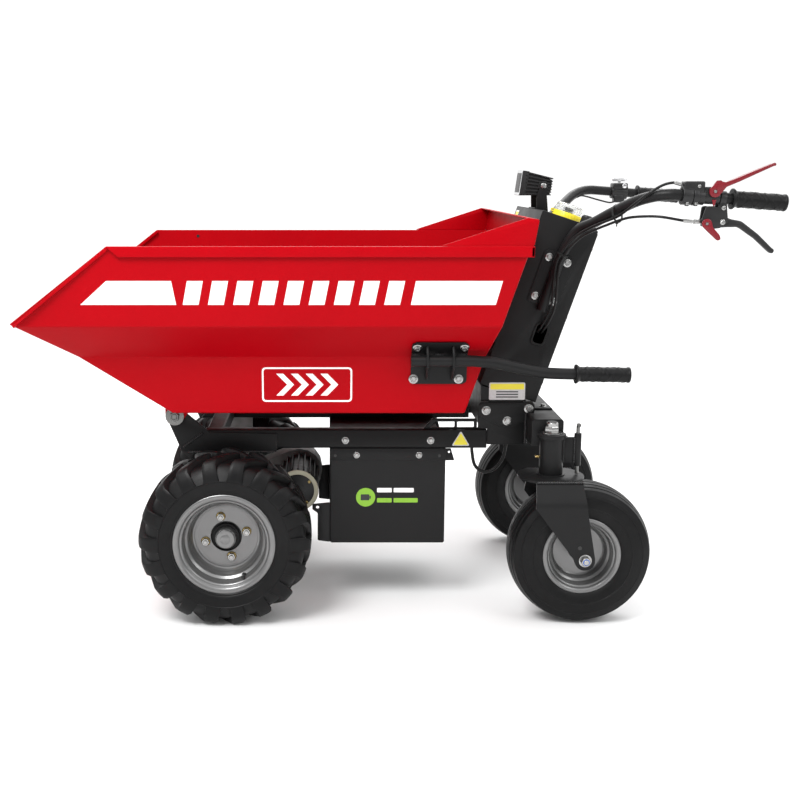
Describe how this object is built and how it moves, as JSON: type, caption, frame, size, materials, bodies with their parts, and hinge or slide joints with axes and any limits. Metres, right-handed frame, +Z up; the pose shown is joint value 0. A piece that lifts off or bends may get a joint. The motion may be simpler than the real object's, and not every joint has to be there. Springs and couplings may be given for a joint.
{
  "type": "power wheelbarrow",
  "caption": "Battery power wheelbarrow: tipping steel tub on a frame with driven front wheels, swivel casters, and a raised handlebar column.",
  "frame": {"origin": "on the ground, at the bottom centre of the whole object's box", "axes": "-X towards the tub's dumping lip, +X towards the handlebar grips, +Y the machine's right side, +Z up"},
  "size_m": [1.691, 0.845, 1.0662],
  "materials": {
    "tub_paint": "gloss",
    "frame_paint": "satin",
    "cover_paint": "satin",
    "rim_silver": "satin",
    "tyre_rubber": "matte",
    "grip_rubber": "matte",
    "zinc_steel": "satin",
    "cast_metal": "matte",
    "lever_red": "gloss",
    "control_plastic": "satin",
    "lever_black": "satin",
    "light_housing": "satin",
    "ring_yellow": "gloss",
    "clear_plastic": "gloss",
    "cable_rubber": "matte",
    "battery_case": "matte"
  },
  "bodies": {
    "chassis": {"front_crossmember": "frame_paint", "frame_rail_left": "frame_paint", "frame_rail_right": "frame_paint", "hinge_pin_left": "zinc_steel", "hinge_pin_right": "zinc_steel", "gusset_plate_left": "frame_paint", "gusset_plate_right": "frame_paint", "caster_crossmember": "frame_paint", "column_foot": "frame_paint", "battery_box": "frame_paint", "battery_box_lid": "frame_paint", "battery_left": "battery_case", "battery_right": "battery_case", "transaxle": "cast_metal", "drive_motor": "cover_paint", "column_shell": "cover_paint", "column_rear_cover": "cover_paint", "motor_controller": "cast_metal", "handlebar_left": "frame_paint", "handlebar_right": "frame_paint", "handlebar_grip_left": "grip_rubber", "handlebar_grip_right": "grip_rubber", "throttle_housing": "control_plastic", "brake_bracket": "control_plastic", "switch_pod": "control_plastic", "work_light_bracket": "frame_paint", "key_switch_base": "ring_yellow", "throttle_cable": "cable_rubber", "brake_cable": "cable_rubber", "wiring_loop": "cable_rubber"},
    "tub": {"tub_shell": "tub_paint", "spill_guard": "tub_paint", "tipping_handle_left": "frame_paint", "tipping_grip_left": "grip_rubber"},
    "drive_wheel_left": {"drive_tyre_left": "tyre_rubber", "drive_rim_left": "rim_silver", "axle_left": "zinc_steel"},
    "swivel_fork_left": {"caster_fork_left": "frame_paint", "caster_axle_left": "zinc_steel"},
    "caster_wheel_left": {"caster_tyre_left": "tyre_rubber", "caster_rim_left": "rim_silver"},
    "swivel_lock_left": {"swivel_lock_pin_left": "zinc_steel"},
    "drive_wheel_right": {"drive_tyre_right": "tyre_rubber", "drive_rim_right": "rim_silver", "axle_right": "zinc_steel"},
    "swivel_fork_right": {"caster_fork_right": "frame_paint", "caster_axle_right": "zinc_steel"},
    "caster_wheel_right": {"caster_tyre_right": "tyre_rubber", "caster_rim_right": "rim_silver"},
    "swivel_lock_right": {"swivel_lock_pin_right": "zinc_steel"},
    "throttle": {"throttle_lever": "lever_red"},
    "brake": {"brake_lever": "lever_black"},
    "parking_lock": {"parking_lock_lever": "lever_red"},
    "button": {"pod_button": "zinc_steel"},
    "direction": {"direction_lever": "zinc_steel"},
    "work_light": {"work_light": "light_housing"},
    "key_cover": {"key_switch_cover": "clear_plastic"},
    "knob": {"speed_knob": "control_plastic"}
  },
  "joints": [
    {"name": "tub_tip", "type": "hinge", "parent": "chassis", "child": "tub", "pos_m": [-0.5125, 0, 0.472], "axis": [0, -1, 0], "range_deg": [0, 80]},
    {"name": "drive_wheel_left_roll", "type": "hinge", "parent": "chassis", "child": "drive_wheel_left", "pos_m": [-0.3855, -0.3, 0.202], "axis": [0, 1, 0], "continuous": true},
    {"name": "caster_left_swivel", "type": "hinge", "parent": "chassis", "child": "swivel_fork_left", "pos_m": [0.3765, -0.3, 0.4], "axis": [0, 0, 1], "continuous": true},
    {"name": "caster_wheel_left_roll", "type": "hinge", "parent": "swivel_fork_left", "child": "caster_wheel_left", "pos_m": [0.4465, -0.3, 0.168], "axis": [0, 1, 0], "continuous": true},
    {"name": "swivel_lock_left_lift", "type": "slide", "parent": "chassis", "child": "swivel_lock_left", "axis": [0, 0, 1], "range_m": [0, 0.018]},
    {"name": "drive_wheel_right_roll", "type": "hinge", "parent": "chassis", "child": "drive_wheel_right", "pos_m": [-0.3855, 0.3, 0.202], "axis": [0, 1, 0], "continuous": true},
    {"name": "caster_right_swivel", "type": "hinge", "parent": "chassis", "child": "swivel_fork_right", "pos_m": [0.3765, 0.3, 0.4], "axis": [0, 0, 1], "continuous": true},
    {"name": "caster_wheel_right_roll", "type": "hinge", "parent": "swivel_fork_right", "child": "caster_wheel_right", "pos_m": [0.4465, 0.3, 0.168], "axis": [0, 1, 0], "continuous": true},
    {"name": "swivel_lock_right_lift", "type": "slide", "parent": "chassis", "child": "swivel_lock_right", "axis": [0, 0, 1], "range_m": [0, 0.018]},
    {"name": "throttle_squeeze", "type": "hinge", "parent": "chassis", "child": "throttle", "pos_m": [0.6843, -0.419, 1.0053], "axis": [0, 1, 0], "range_deg": [0, 14], "stiffness_Nm_per_rad": 0.5, "springref_deg": -17.19},
    {"name": "brake_squeeze", "type": "hinge", "parent": "chassis", "child": "brake", "pos_m": [0.7069, -0.4, 0.9399], "axis": [0, -1, 0], "range_deg": [0, 22], "stiffness_Nm_per_rad": 0.8, "springref_deg": -17.19},
    {"name": "parking_lock_turn", "type": "hinge", "parent": "chassis", "child": "parking_lock", "pos_m": [0.6717, -0.4155, 0.9365], "axis": [0, -1, 0], "range_deg": [0, 35]},
    {"name": "pod_button_press", "type": "slide", "parent": "chassis", "child": "button", "axis": [0, 1, 0], "range_m": [0, 0.003], "stiffness_N_per_m": 300, "springref_m": -0.002},
    {"name": "direction_lever_turn", "type": "hinge", "parent": "chassis", "child": "direction", "pos_m": [0.677, 0.4, 1.0183], "axis": [0, 0, 1], "range_deg": [-25, 25]},
    {"name": "work_light_tilt", "type": "hinge", "parent": "chassis", "child": "work_light", "pos_m": [0.3841, 0, 1.0139], "axis": [0, 1, 0], "range_deg": [-15, 15]},
    {"name": "key_cover_flip", "type": "hinge", "parent": "chassis", "child": "key_cover", "pos_m": [0.47332, -0.06, 0.92823], "axis": [0, 1, 0], "range_deg": [0, 95]},
    {"name": "speed_knob_turn", "type": "hinge", "parent": "chassis", "child": "knob", "pos_m": [0.47317, -0.115, 0.92143], "axis": [0.3156, 0, 0.9489], "range_deg": [-135, 135]}
  ]
}
